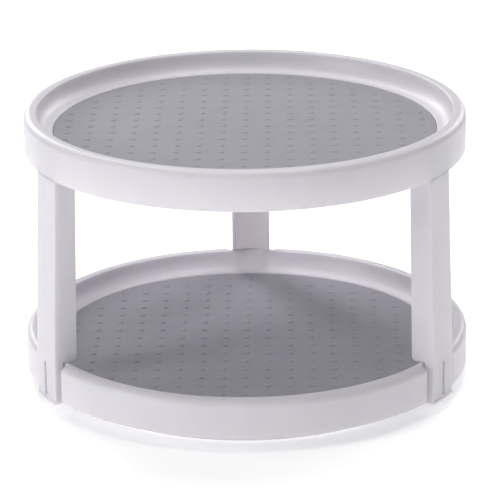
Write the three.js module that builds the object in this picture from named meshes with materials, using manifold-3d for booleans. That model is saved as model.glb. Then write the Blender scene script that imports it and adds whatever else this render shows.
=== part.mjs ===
// Two-tier lazy susan turntable, in millimetres, +Z up.
// The origin is the centre of the footprint, on the surface that the rubber feet stand on.
// A round base stays still. Balls in a cage carry the lower tray on it, a shoulder screw holds the tray
// down at the centre, and three channel legs, snapped into the lower rim, carry the upper tray.
import * as THREE from "three";
import { mergeVertices } from "three/addons/utils/BufferGeometryUtils.js";
import Module from "manifold-3d";

const wasm = await Module();
wasm.setup();

// ---- Overall sizes
const LOWER_RADIUS = 152.4; // outside of the lower tray's rim
const UPPER_RADIUS = 149.7; // outside of the upper tray's rim
const TIER_SPACING = 153.8; // from the lower tray to the same point of the upper one

// ---- Tray section, the same on both trays
const RIM_HEIGHT = 26;
const RIM_WALL = 2.4;
const RIM_ROUND = 5; // round-over at the rim's outer top edge
const LIP_ROUND = 1.2; // round-over at the lip's inner edge
const LIP_WIDTH = 9; // from the outer wall to the lip's inner edge
const RIM_WIDTH = 16.5; // from the outer wall to the ledge round the mat
const LEDGE_WIDTH = 3;
const LEDGE_RISE = 3; // the ledge above the tray's floor
const LEDGE_ROUND = 0.8;
const FLOOR_WALL = 2.5;
const FLOOR_LIFT = 7.2; // the floor's underside above the rim's bottom edge

// ---- Mats
const MAT_THICKNESS = 1.7;
const MAT_ROUND = 0.5;

// ---- Legs
const LEG_COUNT = 3;
const LEG_NAMES = ["leg_back", "leg_left", "leg_right"];
const LEG_START = 90; // degrees, the direction of the back leg
const LEG_WIDTH = 27.2;
const LEG_DEPTH = 17.2; // how far the flanges reach in, just above the lower rim
const LEG_DEPTH_ABOVE = 15.6; // the same, just below the upper rim
const LEG_WALL = 2.2;
const LEG_PROUD = 1.8; // how far a foot stands out of the lower rim
const FOOT_DROP = 2.5; // a foot's end below the lower rim's bottom edge
const FOOT_PLATE = 1.6;
const FOOT_LIP = 1.2; // how far the foot plate stands out of the leg's face
const SLIT_WIDTH = 3;
const SLIT_MARGIN = 1.5; // material left above the foot plate
const NOTCH_DEPTH = 6.1; // how far a notch reaches in from the lower rim's outside
const NOTCH_MARGIN = 4.4; // open strip of a notch on either side of a leg
const TONGUE_WIDTH = 10.4; // the rim's tongue that the leg's channel straddles
const TENON_NARROWER = 2.5; // the tenon's step in from each side of the leg
const TENON_DEPTH = 6;
const TENON_HEIGHT = 14;
const SOCKET_RIB = 1.6;
const SOCKET_LIFT = 1.5; // the socket ribs' bottom edge above the upper rim's bottom edge

// ---- Base
const BASE_MARGIN = 20.4; // the base's edge inside the lower rim's outside
const BASE_PLATE = 2.4;
const BASE_WALL = 2.4;
const BASE_WALL_HEIGHT = 7.8;
const BASE_DROP = 10; // the base's underside below the lower rim's bottom edge
const BASE_ROUND = 0.8;

// ---- Rubber feet
const FOOT_COUNT = 6;
const FOOT_RADIUS = 9;
const FOOT_STAND = 1.2; // how far a foot stands out of the base
const FOOT_POCKET = 1;
const FOOT_MARGIN = 17; // a foot's centre inside the base's edge
const FOOT_ROUND = 0.6;

// ---- Ball bearing
const BALL_COUNT = 12;
const BALL_RADIUS = 3.175;
const BALL_CIRCLE = 100;
const RACE_WIDTH = 9.2;
const RACE_DEPTH = 1.6; // from the ball's centre to the face of either race
const CAGE_THICKNESS = 1.6;
const CAGE_WIDTH = 12;

// ---- Pivot
const BOSS_RADIUS = 7;
const SHOULDER_RADIUS = 4;
const THREAD_RADIUS = 1.6;
const THREAD_LENGTH = 5.5;
const HEAD_RADIUS = 6;
const HEAD_HEIGHT = 2;
const DRIVE_WIDTH = 1.1;
const DRIVE_LENGTH = 6.4;
const DRIVE_DEPTH = 1.1;
const WASHER_RADIUS = 8;
const WASHER_THICKNESS = 1;
const HUB_WALL = 2.4;
const HUB_RADIUS = 12;
const HUB_LIFT = 2; // the hub's underside above the end of the screw's shoulder

// ---- Clearances
const SEAT_GAP = 0.3; // between pieces that rest on each other
const MAT_FIT = 0.3; // round a mat
const LEG_FIT = 0.5; // between a leg and what it snaps into
const TURN_FIT = 0.4; // between the turning tray and the pivot

// ---- Fineness of round shapes
const RIM_SEGMENTS = 60;
const RING_SEGMENTS = 40;
const SMALL_SEGMENTS = 16;
const BALL_SEGMENTS = 10;
const BALL_RINGS = 6;
const GROOVE_STEPS = 6;
const ARC_STEPS = 2;
const OVERSHOOT = 2; // how far a cutting shape runs past what it cuts
const MERGE_DISTANCE = 1e-4; // points closer than this are one corner

// ---- Heights that follow from these
const BASE_Z = FOOT_STAND;
const LOWER_Z = BASE_Z + BASE_DROP;
const UPPER_Z = LOWER_Z + TIER_SPACING;
const FLOOR_TOP = FLOOR_LIFT + FLOOR_WALL;
const BASE_RADIUS = LOWER_RADIUS - BASE_MARGIN;
const FLOOR_UNDER_Z = LOWER_Z + FLOOR_LIFT;
const BALL_Z = (BASE_Z + BASE_PLATE + FLOOR_UNDER_Z) / 2;
const HEAD_TOP_Z = LOWER_Z + FLOOR_TOP - SEAT_GAP;
const HEAD_BOTTOM_Z = HEAD_TOP_Z - HEAD_HEIGHT;
const WASHER_Z = HEAD_BOTTOM_Z - SEAT_GAP - WASHER_THICKNESS;
const HUB_PLATE_TOP_Z = WASHER_Z - SEAT_GAP;
const SHOULDER_Z = HUB_PLATE_TOP_Z - HUB_WALL - HUB_LIFT;
const BOSS_TOP_Z = SHOULDER_Z - SEAT_GAP;

// ---- Finishes
const finish = (color, roughness, metalness = 0) =>
  new THREE.MeshStandardMaterial({ color, roughness, metalness });
const FINISHES = {
  shell: () => finish(0xe4e2e8, 0.45),
  mat: () => finish(0x97949f, 0.8),
  rubber: () => finish(0x4a4a4d, 0.9),
  steel: () => finish(0xb9bbc0, 0.25, 1),
  cage: () => finish(0xd9d7cf, 0.5),
};

const radians = THREE.MathUtils.degToRad;

// A closed three.js geometry as a solid.
function solid(geometry) {
  const bare = geometry.clone();
  bare.deleteAttribute("normal");
  bare.deleteAttribute("uv");
  const merged = mergeVertices(bare, MERGE_DISTANCE);
  const corners = merged.index.array;
  const kept = [];
  for (let i = 0; i < corners.length; i += 3) {
    const [a, b, c] = [corners[i], corners[i + 1], corners[i + 2]];
    if (a !== b && b !== c && c !== a) kept.push(a, b, c);
  }
  return new wasm.Manifold(
    new wasm.Mesh({
      numProp: 3,
      vertProperties: merged.attributes.position.array,
      triVerts: new Uint32Array(kept),
    }),
  );
}

// A solid back as a flat-shaded three.js geometry.
function geometryOf(shape) {
  const mesh = shape.getMesh();
  const geometry = new THREE.BufferGeometry();
  geometry.setAttribute("position", new THREE.BufferAttribute(mesh.vertProperties, 3));
  geometry.setIndex(new THREE.BufferAttribute(mesh.triVerts, 1));
  const flat = geometry.toNonIndexed();
  flat.computeVertexNormals();
  return flat;
}

// A section of (radius, height) points turned about the Z axis.
function turned(points, segments = RIM_SEGMENTS) {
  const outline = THREE.ShapeUtils.area(points) > 0 ? points : [...points].reverse();
  const closed = outline[0].x > 0 || outline.at(-1).x > 0;
  const section = closed ? [...outline, outline[0].clone()] : outline;
  return solid(new THREE.LatheGeometry(section, segments).rotateX(Math.PI / 2));
}

// A ring, or a disc when the inner radius is 0, between two heights.
function ring(inner, outer, bottom, top, segments = RING_SEGMENTS) {
  const points = [
    new THREE.Vector2(inner, bottom),
    new THREE.Vector2(outer, bottom),
    new THREE.Vector2(outer, top),
    new THREE.Vector2(inner, top),
  ];
  return turned(points, segments);
}

// A box given by its lowest and highest corners.
function block(low, high) {
  const size = high.map((value, i) => value - low[i]);
  const middle = high.map((value, i) => (value + low[i]) / 2);
  return solid(new THREE.BoxGeometry(...size).translate(...middle));
}

// A flat outline in X and Y, raised from one height to another.
function raised(shape, bottom, top) {
  const options = { depth: top - bottom, bevelEnabled: false, curveSegments: 2 * ARC_STEPS };
  return solid(new THREE.ExtrudeGeometry(shape, options).translate(0, 0, bottom));
}

// A copy of a solid turned about the Z axis.
function spun(shape, degrees) {
  return shape.rotate([0, 0, degrees]);
}

// Evenly spaced directions, in degrees.
function directions(count, start = 0) {
  return Array.from({ length: count }, (_, i) => start + (360 * i) / count);
}

// ---- Trays

// Section of a tray: floor, raised ledge, curved inner wall, lip, round-over and outer skirt.
function traySection(radius, z) {
  const lip = radius - LIP_WIDTH;
  const ledge = radius - RIM_WIDTH;
  const recess = ledge - LEDGE_WIDTH;
  const top = z + RIM_HEIGHT;
  const floor = z + FLOOR_TOP;
  const ledgeTop = floor + LEDGE_RISE;
  const under = z + FLOOR_LIFT;
  const bend = lip - RIM_WALL / 2; // where the inner wall's curve turns from down to inwards
  const path = new THREE.Path();
  path.moveTo(0, under);
  path.lineTo(recess + RIM_WALL / 2, under);
  path.quadraticCurveTo(lip + RIM_WALL / 2, under + FLOOR_LIFT / 2, lip + RIM_WALL, top - RIM_WALL);
  path.lineTo(radius - RIM_WALL, top - RIM_WALL);
  path.lineTo(radius - RIM_WALL, z);
  path.lineTo(radius, z);
  path.lineTo(radius, top - RIM_ROUND);
  path.absarc(radius - RIM_ROUND, top - RIM_ROUND, RIM_ROUND, 0, Math.PI / 2);
  path.lineTo(lip + LIP_ROUND, top);
  path.absarc(lip + LIP_ROUND, top - LIP_ROUND, LIP_ROUND, Math.PI / 2, Math.PI);
  path.quadraticCurveTo(bend, ledgeTop + RIM_WALL, ledge, ledgeTop);
  path.lineTo(recess + LEDGE_ROUND, ledgeTop);
  path.absarc(recess + LEDGE_ROUND, ledgeTop - LEDGE_ROUND, LEDGE_ROUND, Math.PI / 2, Math.PI);
  path.lineTo(recess, floor);
  path.lineTo(0, floor);
  return distinct(path.getPoints(ARC_STEPS));
}

// Points without the repeats that joined curves leave.
function distinct(points) {
  return points.filter((p, i) => i === 0 || p.distanceTo(points[i - 1]) > MERGE_DISTANCE);
}

// The race on either side of the balls: a ring with a groove that clears the balls all round.
function race(from, face) {
  const body = ring(BALL_CIRCLE - RACE_WIDTH / 2, BALL_CIRCLE + RACE_WIDTH / 2, from, face);
  return body.subtract(grooveCut());
}

// The ring that the balls sweep, with the seat gap round it.
function grooveCut() {
  const circle = new THREE.Path();
  circle.absarc(BALL_CIRCLE, BALL_Z, BALL_RADIUS + SEAT_GAP, 0, 2 * Math.PI);
  return turned(distinct(circle.getPoints(GROOVE_STEPS)).slice(0, -1), RING_SEGMENTS);
}

// The dished hub at the lower tray's centre, which the screw and washer hold down.
function withHub(tray) {
  const floorTop = LOWER_Z + FLOOR_TOP;
  const plateBottom = HUB_PLATE_TOP_Z - HUB_WALL;
  const dish = ring(0, HUB_RADIUS, HUB_PLATE_TOP_Z, floorTop + OVERSHOOT, SMALL_SEGMENTS);
  const cup = ring(0, HUB_RADIUS + HUB_WALL, plateBottom, floorTop - SEAT_GAP, SMALL_SEGMENTS);
  const bore = ring(
    0,
    SHOULDER_RADIUS + TURN_FIT,
    plateBottom - OVERSHOOT,
    floorTop,
    SMALL_SEGMENTS,
  );
  return tray.add(cup).subtract(dish).subtract(bore);
}

// What one leg removes from the lower rim: the notch, less the tongue inside the leg's channel.
function notchCut() {
  const outer = LOWER_RADIUS + LEG_PROUD;
  const inner = LOWER_RADIUS - NOTCH_DEPTH;
  const half = LEG_WIDTH / 2 + NOTCH_MARGIN;
  const side = TONGUE_WIDTH / 2;
  const face = outer - LEG_WALL - LEG_FIT - legFaceDrop(outer, side);
  const low = LOWER_Z - OVERSHOOT;
  const high = LOWER_Z + RIM_HEIGHT + OVERSHOOT;
  const notch = block([inner, -half, low], [outer + OVERSHOOT, half, high]);
  const tongue = block([inner - OVERSHOOT, -side, low - OVERSHOOT], [face, side, high + OVERSHOOT]);
  return notch.subtract(tongue);
}

// How far a round face has fallen back at some distance from its middle.
function legFaceDrop(radius, aside) {
  return radius - Math.sqrt(radius * radius - aside * aside);
}

// Two ribs under the upper rim that hold one leg's head between them.
function socketRibs() {
  const near = LEG_WIDTH / 2 + LEG_FIT;
  const inner = UPPER_RADIUS - RIM_WIDTH + RIM_WALL;
  const outer = UPPER_RADIUS - RIM_WALL / 2 - legFaceDrop(UPPER_RADIUS, near + SOCKET_RIB);
  const low = UPPER_Z + SOCKET_LIFT;
  const high = UPPER_Z + FLOOR_TOP + LEDGE_RISE - SEAT_GAP;
  return [-near - SOCKET_RIB, near].map((y) => block([inner, y, low], [outer, y + SOCKET_RIB, high]));
}

function lowerTray() {
  let tray = turned(traySection(LOWER_RADIUS, LOWER_Z));
  tray = tray.add(race(FLOOR_UNDER_Z + FLOOR_WALL / 2, BALL_Z + RACE_DEPTH));
  tray = withHub(tray);
  const notch = notchCut();
  for (const angle of directions(LEG_COUNT, LEG_START)) tray = tray.subtract(spun(notch, angle));
  return tray;
}

function upperTray() {
  let tray = turned(traySection(UPPER_RADIUS, UPPER_Z));
  for (const angle of directions(LEG_COUNT, LEG_START))
    for (const rib of socketRibs()) tray = tray.add(spun(rib, angle));
  return tray;
}

// A mat lies in the recess that the ledge rings.
function mat(radius, z) {
  const edge = radius - RIM_WIDTH - LEDGE_WIDTH - MAT_FIT;
  const bottom = z + FLOOR_TOP + SEAT_GAP;
  const top = bottom + MAT_THICKNESS;
  const path = new THREE.Path();
  path.moveTo(0, bottom);
  path.lineTo(edge, bottom);
  path.lineTo(edge, top - MAT_ROUND);
  path.absarc(edge - MAT_ROUND, top - MAT_ROUND, MAT_ROUND, 0, Math.PI / 2);
  path.lineTo(0, top);
  return turned(distinct(path.getPoints(1)));
}

// ---- Legs

// Channel section of a leg: a web that follows the rim's curve and two flanges towards the axis.
function channel(outer, width, depth) {
  const half = width / 2;
  const hollow = half - LEG_WALL;
  const spread = Math.asin(half / outer);
  const inside = outer - LEG_WALL;
  const bend = Math.asin(hollow / inside);
  const shape = new THREE.Shape();
  shape.absarc(0, 0, outer, -spread, spread);
  shape.lineTo(outer - depth, half);
  shape.lineTo(outer - depth, hollow);
  shape.absarc(0, 0, inside, bend, -bend, true);
  shape.lineTo(outer - depth, -hollow);
  shape.lineTo(outer - depth, -half);
  return shape;
}

// The plate that closes a leg's lower end and stands out as a lip.
function footPlate(outer, depth, bottom) {
  const half = LEG_WIDTH / 2;
  const edge = outer + FOOT_LIP;
  const spread = Math.asin(half / edge);
  const shape = new THREE.Shape();
  shape.absarc(0, 0, edge, -spread, spread);
  shape.lineTo(outer - depth, half);
  shape.lineTo(outer - depth, -half);
  return raised(shape, bottom, bottom + FOOT_PLATE);
}

// The sloping stretch between the two rims. With height its section slides inwards and gets shallower.
function legSpan(outerBelow, outerAbove, bottom, top) {
  const options = { depth: top - bottom, bevelEnabled: false, curveSegments: 2 * ARC_STEPS };
  const prism = new THREE.ExtrudeGeometry(channel(outerBelow, LEG_WIDTH, LEG_DEPTH), options);
  const share = LEG_DEPTH_ABOVE / LEG_DEPTH;
  const corners = prism.getAttribute("position");
  for (let i = 0; i < corners.count; i += 1) {
    const x = corners.getX(i);
    if (corners.getZ(i) > 0) corners.setX(i, outerAbove + (x - outerBelow) * share);
  }
  return solid(prism.translate(0, 0, bottom));
}

// One leg, in the direction of +X.
function leg() {
  const outerBelow = LOWER_RADIUS + LEG_PROUD;
  const bottom = LOWER_Z - FOOT_DROP;
  const footTop = LOWER_Z + RIM_HEIGHT + SEAT_GAP;
  const footDepth = LEG_PROUD + NOTCH_DEPTH - LEG_FIT;
  const shoulder = UPPER_Z - SEAT_GAP;
  const headOuter = UPPER_RADIUS - RIM_WALL - LEG_FIT;
  const headDepth = LEG_DEPTH_ABOVE - (UPPER_RADIUS - headOuter);
  const headTop = UPPER_Z + FLOOR_LIFT - SEAT_GAP;
  const tenonWidth = LEG_WIDTH - 2 * TENON_NARROWER;
  const foot = raised(channel(outerBelow, LEG_WIDTH, footDepth), bottom, footTop);
  const span = legSpan(outerBelow, UPPER_RADIUS, footTop, shoulder);
  const head = raised(channel(headOuter, LEG_WIDTH, headDepth), shoulder - RIM_WALL, headTop);
  const tenon = raised(
    channel(headOuter, tenonWidth, TENON_DEPTH),
    headTop - RIM_WALL,
    UPPER_Z + TENON_HEIGHT,
  );
  const shelf = raised(
    channel(headOuter, LEG_WIDTH, TENON_DEPTH),
    headTop - RIM_WALL,
    headTop,
  );
  const slit = block(
    [outerBelow - 2 * LEG_WALL, -SLIT_WIDTH / 2, bottom + FOOT_PLATE + SLIT_MARGIN],
    [outerBelow + OVERSHOOT, SLIT_WIDTH / 2, footTop - SEAT_GAP],
  );
  return foot
    .add(footPlate(outerBelow, footDepth, bottom))
    .subtract(slit)
    .add(span)
    .add(head)
    .add(shelf)
    .add(tenon);
}

// ---- Base, feet, bearing and pivot

function basePlate() {
  const plateTop = BASE_Z + BASE_PLATE;
  const wallTop = BASE_Z + BASE_WALL_HEIGHT;
  const path = new THREE.Path();
  path.moveTo(0, BASE_Z);
  path.lineTo(BASE_RADIUS - BASE_ROUND, BASE_Z);
  path.absarc(BASE_RADIUS - BASE_ROUND, BASE_Z + BASE_ROUND, BASE_ROUND, -Math.PI / 2, 0);
  path.lineTo(BASE_RADIUS, wallTop);
  path.lineTo(BASE_RADIUS - BASE_WALL, wallTop);
  path.lineTo(BASE_RADIUS - BASE_WALL, plateTop);
  path.lineTo(0, plateTop);
  let base = turned(distinct(path.getPoints(1)));
  base = base.add(race(plateTop - BASE_PLATE / 2, BALL_Z - RACE_DEPTH));
  base = base.add(ring(0, BOSS_RADIUS, BASE_Z, BOSS_TOP_Z, SMALL_SEGMENTS));
  const threadEnd = SHOULDER_Z - THREAD_LENGTH - SEAT_GAP;
  const threadHole = THREAD_RADIUS + SEAT_GAP;
  base = base.subtract(ring(0, threadHole, threadEnd, BOSS_TOP_Z + OVERSHOOT, SMALL_SEGMENTS));
  const pocketTop = BASE_Z + FOOT_POCKET + SEAT_GAP;
  const pocket = ring(0, FOOT_RADIUS + SEAT_GAP, BASE_Z - OVERSHOOT, pocketTop, SMALL_SEGMENTS);
  const out = pocket.translate([BASE_RADIUS - FOOT_MARGIN, 0, 0]);
  for (const angle of footDirections()) base = base.subtract(spun(out, angle));
  return base;
}

// The feet stand between the directions of the legs.
function footDirections() {
  return directions(FOOT_COUNT, LEG_START + 180 / FOOT_COUNT);
}

// A rubber foot: a disc with a rounded lower edge.
function rubberFoot() {
  const path = new THREE.Path();
  path.moveTo(0, 0);
  path.lineTo(FOOT_RADIUS - FOOT_ROUND, 0);
  path.absarc(FOOT_RADIUS - FOOT_ROUND, FOOT_ROUND, FOOT_ROUND, -Math.PI / 2, 0);
  path.lineTo(FOOT_RADIUS, FOOT_STAND + FOOT_POCKET);
  path.lineTo(0, FOOT_STAND + FOOT_POCKET);
  return turned(distinct(path.getPoints(1)), SMALL_SEGMENTS);
}

function ballCage() {
  const half = CAGE_THICKNESS / 2;
  const hole = ring(
    0,
    BALL_RADIUS + SEAT_GAP,
    BALL_Z - half - OVERSHOOT,
    BALL_Z + half + OVERSHOOT,
    SMALL_SEGMENTS,
  ).translate([BALL_CIRCLE, 0, 0]);
  const inner = BALL_CIRCLE - CAGE_WIDTH / 2;
  let cage = ring(inner, inner + CAGE_WIDTH, BALL_Z - half, BALL_Z + half);
  for (const angle of directions(BALL_COUNT)) cage = cage.subtract(spun(hole, angle));
  return cage;
}

// The shoulder screw: threaded end in the boss, shoulder in the hub, cross-slotted head over the washer.
function pivotScrew() {
  const threadEnd = SHOULDER_Z - THREAD_LENGTH;
  const thread = ring(0, THREAD_RADIUS, threadEnd, SHOULDER_Z + SEAT_GAP, SMALL_SEGMENTS);
  const shoulder = ring(0, SHOULDER_RADIUS, SHOULDER_Z, HEAD_BOTTOM_Z + SEAT_GAP, SMALL_SEGMENTS);
  const head = ring(0, HEAD_RADIUS, HEAD_BOTTOM_Z, HEAD_TOP_Z, SMALL_SEGMENTS);
  const slot = block(
    [-DRIVE_LENGTH / 2, -DRIVE_WIDTH / 2, HEAD_TOP_Z - DRIVE_DEPTH],
    [DRIVE_LENGTH / 2, DRIVE_WIDTH / 2, HEAD_TOP_Z + OVERSHOOT],
  );
  return thread.add(shoulder).add(head).subtract(slot).subtract(spun(slot, 90));
}

function pivotWasher() {
  const inner = SHOULDER_RADIUS + SEAT_GAP;
  return ring(inner, WASHER_RADIUS, WASHER_Z, WASHER_Z + WASHER_THICKNESS, SMALL_SEGMENTS);
}

// ---- The object

const lazySusan = new THREE.Group();

// Adds one named mesh to a group.
function piece(group, name, finishName, shape) {
  const mesh = new THREE.Mesh(geometryOf(shape), FINISHES[finishName]());
  mesh.name = name;
  group.add(mesh);
  return mesh;
}

const base = new THREE.Group();
piece(base, "base_plate", "shell", basePlate());
piece(base, "pivot_screw", "steel", pivotScrew());
piece(base, "pivot_washer", "steel", pivotWasher());
const foot = rubberFoot();
footDirections().forEach((angle, i) => {
  const pad = piece(base, `foot_pad_${i + 1}`, "rubber", foot);
  const reach = BASE_RADIUS - FOOT_MARGIN;
  pad.position.set(reach * Math.cos(radians(angle)), reach * Math.sin(radians(angle)), 0);
  pad.rotation.z = radians(angle);
});

const bearing = new THREE.Group();
piece(bearing, "ball_cage", "cage", ballCage());
directions(BALL_COUNT).forEach((angle, i) => {
  const sphere = new THREE.SphereGeometry(BALL_RADIUS, BALL_SEGMENTS, BALL_RINGS);
  const ball = new THREE.Mesh(sphere, FINISHES.steel());
  ball.name = `ball_${String(i + 1).padStart(2, "0")}`;
  ball.position.set(BALL_CIRCLE * Math.cos(radians(angle)), BALL_CIRCLE * Math.sin(radians(angle)), BALL_Z);
  bearing.add(ball);
});

const turntable = new THREE.Group();
piece(turntable, "lower_tray", "shell", lowerTray());
piece(turntable, "lower_mat", "mat", mat(LOWER_RADIUS, LOWER_Z));
const oneLeg = leg();
directions(LEG_COUNT, LEG_START).forEach((angle, i) => {
  piece(turntable, LEG_NAMES[i], "shell", oneLeg).rotation.z = radians(angle);
});
piece(turntable, "upper_tray", "shell", upperTray());
piece(turntable, "upper_mat", "mat", mat(UPPER_RADIUS, UPPER_Z));

lazySusan.add(base, bearing, turntable);

export default lazySusan;
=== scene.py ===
"""A two-tier lazy susan turntable: fine meshes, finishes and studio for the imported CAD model.

Lengths in this script are millimetres unless a docstring says otherwise; `Part` turns them into
the frame's metres. Angles are degrees. +Z is up, +Y points to the back leg, and the turning axis is Z.
"""

import logging
import math
from dataclasses import dataclass, field
from enum import Enum
from typing import Mapping, NamedTuple, Sequence, Union

import bpy
from mathutils import Matrix, Vector


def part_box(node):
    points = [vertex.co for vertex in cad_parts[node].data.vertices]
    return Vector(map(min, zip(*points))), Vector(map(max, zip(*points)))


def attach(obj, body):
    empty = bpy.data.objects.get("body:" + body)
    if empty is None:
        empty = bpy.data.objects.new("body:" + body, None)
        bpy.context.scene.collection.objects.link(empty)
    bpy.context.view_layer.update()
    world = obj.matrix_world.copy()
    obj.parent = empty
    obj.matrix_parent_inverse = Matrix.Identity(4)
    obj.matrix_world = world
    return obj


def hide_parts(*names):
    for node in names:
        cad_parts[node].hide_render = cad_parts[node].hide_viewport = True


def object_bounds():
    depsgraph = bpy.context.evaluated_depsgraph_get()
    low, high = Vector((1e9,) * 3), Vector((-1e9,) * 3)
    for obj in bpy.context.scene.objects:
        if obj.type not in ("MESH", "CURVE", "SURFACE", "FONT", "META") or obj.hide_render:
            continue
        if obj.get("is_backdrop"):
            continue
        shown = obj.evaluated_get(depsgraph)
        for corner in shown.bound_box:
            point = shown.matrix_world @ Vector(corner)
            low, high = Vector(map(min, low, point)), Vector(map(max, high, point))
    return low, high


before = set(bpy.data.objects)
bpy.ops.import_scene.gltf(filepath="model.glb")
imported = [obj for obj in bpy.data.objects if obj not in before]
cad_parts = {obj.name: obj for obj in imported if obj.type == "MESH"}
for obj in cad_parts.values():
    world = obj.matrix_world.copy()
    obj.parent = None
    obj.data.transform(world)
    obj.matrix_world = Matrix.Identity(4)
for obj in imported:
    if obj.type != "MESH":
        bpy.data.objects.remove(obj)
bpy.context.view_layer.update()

LOG = logging.getLogger("turntable")
MM = 0.001
LEGS = {"leg_back": 90.0, "leg_left": 210.0, "leg_right": 330.0}
SEAT_GAP = 0.3
SAME_POINT = 1e-4
ON_AXIS = 1e-6

Point = tuple[float, float]
Colour = Union[Sequence[float], "Field"]
Value = Union[float, int, Sequence[float], "Field", bpy.types.NodeSocket, bpy.types.Material]


class Body(Enum):
    """The bodies of the CAD model that pieces ride on."""

    BASE = "base"
    BEARING = "bearing_cage"
    TURNTABLE = "turntable"


class Slot(Enum):
    """The material slots of the record."""

    SHELL = "shell"
    MAT = "mat"
    RUBBER = "foot_rubber"
    STEEL = "steel"
    CAGE = "cage"


class Join(Enum):
    """How one closed mesh is combined with another."""

    ADD = "UNION"
    CUT = "DIFFERENCE"


class Tier(Enum):
    """The two trays, by the start of their nodes' names."""

    LOWER = "lower"
    UPPER = "upper"


# ---------------------------------------------------------------------------
# Node trees
# ---------------------------------------------------------------------------


class Field:
    """A socket of a node tree that takes part in Python arithmetic."""

    def __init__(self, graph: "Graph", socket: bpy.types.NodeSocket) -> None:
        """Keep the tree and the socket."""
        self.graph = graph
        self.socket = socket

    def _math(self, operation: str, first: Value, second: Value) -> "Field":
        """Add one Math node.

        Args:
            operation: The Math node's operation.
            first: Its first value.
            second: Its second value.

        Returns:
            The node's result.
        """
        return self.graph.out("ShaderNodeMath", {"operation": operation}, {0: first, 1: second})

    def __add__(self, other: Value) -> "Field":
        """Return self + other."""
        return self._math("ADD", self, other)

    def __radd__(self, other: Value) -> "Field":
        """Return other + self."""
        return self._math("ADD", other, self)

    def __sub__(self, other: Value) -> "Field":
        """Return self - other."""
        return self._math("SUBTRACT", self, other)

    def __rsub__(self, other: Value) -> "Field":
        """Return other - self."""
        return self._math("SUBTRACT", other, self)

    def __mul__(self, other: Value) -> "Field":
        """Return self * other."""
        return self._math("MULTIPLY", self, other)

    def __rmul__(self, other: Value) -> "Field":
        """Return other * self."""
        return self._math("MULTIPLY", other, self)

    def __truediv__(self, other: Value) -> "Field":
        """Return self / other."""
        return self._math("DIVIDE", self, other)

    def __gt__(self, other: Value) -> "Field":
        """Return 1 where self is greater than other, else 0."""
        return self._math("GREATER_THAN", self, other)

    def cosine(self) -> "Field":
        """Return the cosine of self, in radians."""
        return self._math("COSINE", self, 0.0)

    def sine(self) -> "Field":
        """Return the sine of self, in radians."""
        return self._math("SINE", self, 0.0)

    def eased(self, low: float, high: float) -> "Field":
        """Return 0 below low, 1 above high and a smooth step in between.

        Args:
            low: Where the step starts.
            high: Where the step ends.

        Returns:
            The stepped value.
        """
        settings = {"interpolation_type": "SMOOTHSTEP"}
        ends = {"Value": self, "From Min": low, "From Max": high}
        return self.graph.out("ShaderNodeMapRange", settings, ends)


class Graph:
    """A node tree whose nodes are all made by one method."""

    def __init__(self, tree: bpy.types.NodeTree) -> None:
        """Keep the tree."""
        self.tree = tree

    def node(
        self,
        kind: str,
        settings: Mapping[str, object] | None = None,
        inputs: Mapping[Union[str, int], Value] | None = None,
    ) -> bpy.types.Node:
        """Add a node.

        Args:
            kind: The node's type.
            settings: Its own settings, which are set first.
            inputs: Values or links of its sockets, by name or by number.

        Returns:
            The node.
        """
        made = self.tree.nodes.new(kind)
        for name, value in (settings or {}).items():
            setattr(made, name, value)
        self.feed(made, inputs or {})
        return made

    def feed(self, node: bpy.types.Node, inputs: Mapping[Union[str, int], Value]) -> None:
        """Set or link a node's sockets.

        Args:
            node: The node.
            inputs: Values or links by the socket's name or number.
        """
        for name, value in inputs.items():
            socket = node.inputs[name]
            if isinstance(value, Field):
                self.tree.links.new(value.socket, socket)
            elif isinstance(value, bpy.types.NodeSocket):
                self.tree.links.new(value, socket)
            else:
                socket.default_value = value

    def out(
        self,
        kind: str,
        settings: Mapping[str, object] | None = None,
        inputs: Mapping[Union[str, int], Value] | None = None,
        output: Union[str, int] = 0,
    ) -> Field:
        """Add a node and return one of its outputs, ready for arithmetic.

        Args:
            kind: The node's type.
            settings: Its own settings.
            inputs: Values or links of its sockets.
            output: The wanted output, by name or by number.

        Returns:
            That output.
        """
        return Field(self, self.node(kind, settings, inputs).outputs[output])


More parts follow.
